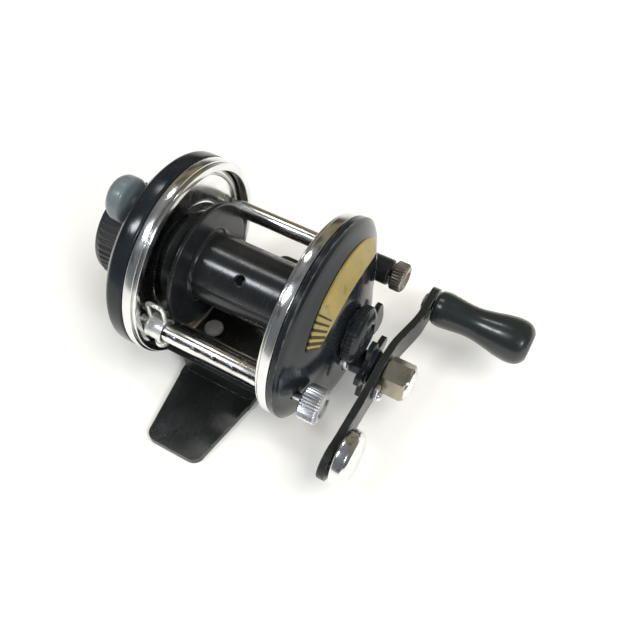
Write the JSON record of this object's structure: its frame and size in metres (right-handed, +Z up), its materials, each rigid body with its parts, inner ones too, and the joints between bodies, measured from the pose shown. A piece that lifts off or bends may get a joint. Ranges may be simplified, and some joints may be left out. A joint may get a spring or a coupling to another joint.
{
  "type": "baitcasting reel",
  "caption": "Small round baitcasting reel with level wind, star drag, end dial and a single-knob crank with a counterweight, on a curved foot.",
  "frame": {"origin": "on the underside of the foot, straight below the spool axis and midway between the side plates", "axes": "+X along the spool axis to the crank side, -Y towards the level wind and the line, +Z up from the rod"},
  "size_m": [0.1097, 0.0713, 0.057],
  "materials": {
    "chrome": "polished chrome plate",
    "nickel": "nickel plate, knurled or slotted",
    "steel": "machined steel",
    "brass": "cut brass",
    "gold": "thin gold-coloured sector, satin",
    "bronze": "bronze-toned plate, worn",
    "cover_black": "semi-gloss black",
    "knob_black": "glossy black",
    "satin_black": "satin black",
    "spool_black": "black anodised, satin",
    "dial_black": "satin black",
    "grey": "grey",
    "fibre": "drag washer fibre"
  },
  "bodies": {
    "frame": {"left_ring": "chrome", "right_ring": "chrome", "left_plate": "satin_black", "right_plate": "satin_black", "left_cover": "cover_black", "right_cover": "cover_black", "label_crescent": "gold", "rear_post": "chrome", "front_low_post": "chrome", "rear_low_post": "chrome", "foot": "satin_black", "foot_saddle": "satin_black", "foot_rivet_left": "nickel", "foot_rivet_right": "nickel", "cover_screw_rear": "nickel", "cover_screw_front": "nickel", "cover_screw_low": "nickel", "left_bearing": "steel", "right_bearing": "steel", "idler_pin": "steel", "worm_shield": "chrome", "yoke_post_front": "steel", "yoke_post_rear": "steel", "dog_pin": "steel", "drive_bush": "nickel", "thumbscrew_collar": "satin_black"},
    "crank": {"drive_shaft": "steel", "ratchet_wheel": "steel", "main_gear": "brass", "drag_washer": "fibre", "pressure_washer": "steel", "crank_arm": "cover_black", "crank_nut": "bronze", "nut_keeper": "nickel", "knob_spindle": "steel", "counterweight": "chrome"},
    "star": {"star_wheel": "cover_black"},
    "handle": {"crank_knob": "knob_black"},
    "spool_group": {"spool": "spool_black", "spool_shaft": "steel", "spool_cog": "brass", "click_gear": "steel"},
    "yoke": {"clutch_yoke": "steel"},
    "pinion_group": {"pinion": "brass"},
    "idler": {"idler_gear": "brass"},
    "worm": {"worm_shaft": "steel", "worm_gear": "brass"},
    "carriage": {"line_guide": "chrome", "guide_pawl": "brass", "pawl_cap": "chrome"},
    "cast_control": {"cast_control_cap": "cover_black", "thrust_shim": "brass"},
    "dial": {"left_dial": "dial_black"},
    "click": {"click_knob": "grey", "click_tongue": "steel"},
    "upper_screw": {"upper_thumbscrew": "nickel"},
    "lower_screw": {"lower_thumbscrew": "nickel"},
    "clutch": {"clutch_lever": "cover_black"},
    "dog": {"anti_reverse_dog": "steel"}
  },
  "joints": [
    {"name": "crank_spin", "type": "hinge", "parent": "frame", "child": "crank", "pos_m": [0.0369, 0, 0.018], "axis": [1, 0, 0], "continuous": true},
    {"name": "star_turn", "type": "hinge", "parent": "crank", "child": "star", "pos_m": [0.0344, 0, 0.018], "axis": [1, 0, 0], "range_deg": [-180, 180]},
    {"name": "handle_spin", "type": "hinge", "parent": "crank", "child": "handle", "pos_m": [0.054, 0.0255, 0.018], "axis": [1, 0, 0], "continuous": true},
    {"name": "spool_spin", "type": "hinge", "parent": "frame", "child": "spool_group", "pos_m": [0, 0, 0.03], "axis": [1, 0, 0], "continuous": true},
    {"name": "yoke_slide", "type": "slide", "parent": "frame", "child": "yoke", "axis": [1, 0, 0], "range_m": [0, 0.0012]},
    {"name": "pinion_spin", "type": "hinge", "parent": "yoke", "child": "pinion_group", "pos_m": [0.023, 0, 0.03], "axis": [1, 0, 0], "continuous": true},
    {"name": "idler_spin", "type": "hinge", "parent": "frame", "child": "idler", "pos_m": [-0.0239, -0.01103, 0.02865], "axis": [1, 0, 0], "continuous": true},
    {"name": "worm_spin", "type": "hinge", "parent": "frame", "child": "worm", "pos_m": [-0.0239, -0.0213, 0.0274], "axis": [1, 0, 0], "continuous": true},
    {"name": "guide_slide", "type": "slide", "parent": "frame", "child": "carriage", "axis": [1, 0, 0], "range_m": [0, 0.0288]},
    {"name": "cast_control_turn", "type": "hinge", "parent": "frame", "child": "cast_control", "pos_m": [0.031, 0, 0.03], "axis": [1, 0, 0], "range_deg": [-180, 180]},
    {"name": "dial_turn", "type": "hinge", "parent": "frame", "child": "dial", "pos_m": [-0.034, 0, 0.03], "axis": [1, 0, 0], "range_deg": [-150, 150]},
    {"name": "click_slide", "type": "slide", "parent": "frame", "child": "click", "axis": [0, -0.9728, -0.2318], "range_m": [0, 0.003]},
    {"name": "upper_screw_turn", "type": "hinge", "parent": "frame", "child": "upper_screw", "pos_m": [0.03, 0.0209, 0.03], "axis": [1, 0, 0], "range_deg": [-180, 180]},
    {"name": "lower_screw_turn", "type": "hinge", "parent": "frame", "child": "lower_screw", "pos_m": [0.029, -0.0209, 0.0268], "axis": [1, 0, 0], "range_deg": [-180, 180]},
    {"name": "clutch_turn", "type": "hinge", "parent": "frame", "child": "clutch", "pos_m": [0.0296, 0.0135, 0.017], "axis": [1, 0, 0], "range_deg": [0, 25]},
    {"name": "dog_turn", "type": "hinge", "parent": "frame", "child": "dog", "pos_m": [0.0217, 0.0096, 0.0128], "axis": [1, 0, 0], "range_deg": [-20, 20]}
  ],
  "couplings": [
    {"joint": "spool_spin", "follows": "crank_spin", "ratio": -3},
    {"joint": "pinion_spin", "follows": "crank_spin", "ratio": -3},
    {"joint": "idler_spin", "follows": "crank_spin", "ratio": 1.4},
    {"joint": "worm_spin", "follows": "crank_spin", "ratio": -3.8182},
    {"joint": "clutch_turn", "follows": "yoke_slide", "rad_per_m": 363.6}
  ]
}
